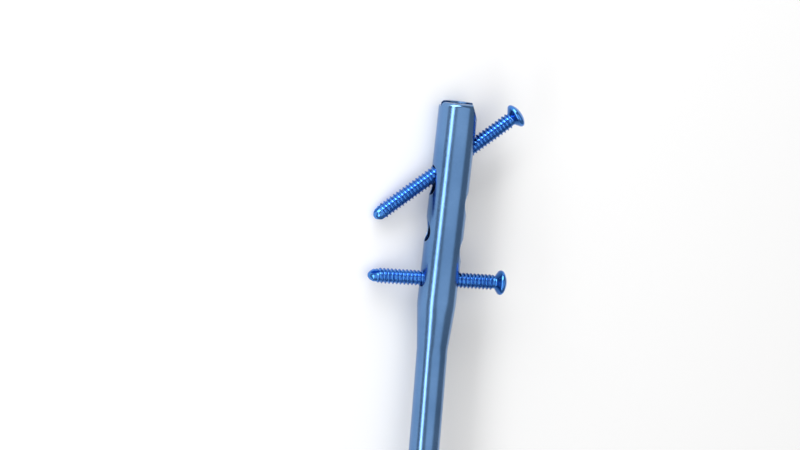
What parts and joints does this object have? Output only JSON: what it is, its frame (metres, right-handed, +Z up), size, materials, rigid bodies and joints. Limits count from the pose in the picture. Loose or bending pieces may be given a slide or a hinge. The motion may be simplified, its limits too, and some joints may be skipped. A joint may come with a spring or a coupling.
{
  "type": "intramedullary nail",
  "caption": "Hollow, bowed and tapered nail for the inside of a thigh bone, with an oblique and a transverse locking screw through its thick driving end.",
  "frame": {"origin": "bottom centre of the bounding box, on the floor that the nail lies on", "axes": "+Y along the nail towards its driving end, +Z up from the floor, roughly the nail's front, +X roughly its outer side, where the screw heads are"},
  "size_m": [0.0466, 0.34, 0.0189],
  "materials": {
    "nail_anodised": "blue-grey anodised titanium alloy, satin to gloss",
    "screw_anodised": "bright blue anodised titanium alloy, gloss"
  },
  "bodies": {
    "root": {"nail": "nail_anodised", "oblique_locking_screw": "screw_anodised", "transverse_locking_screw": "screw_anodised"}
  },
  "joints": []
}
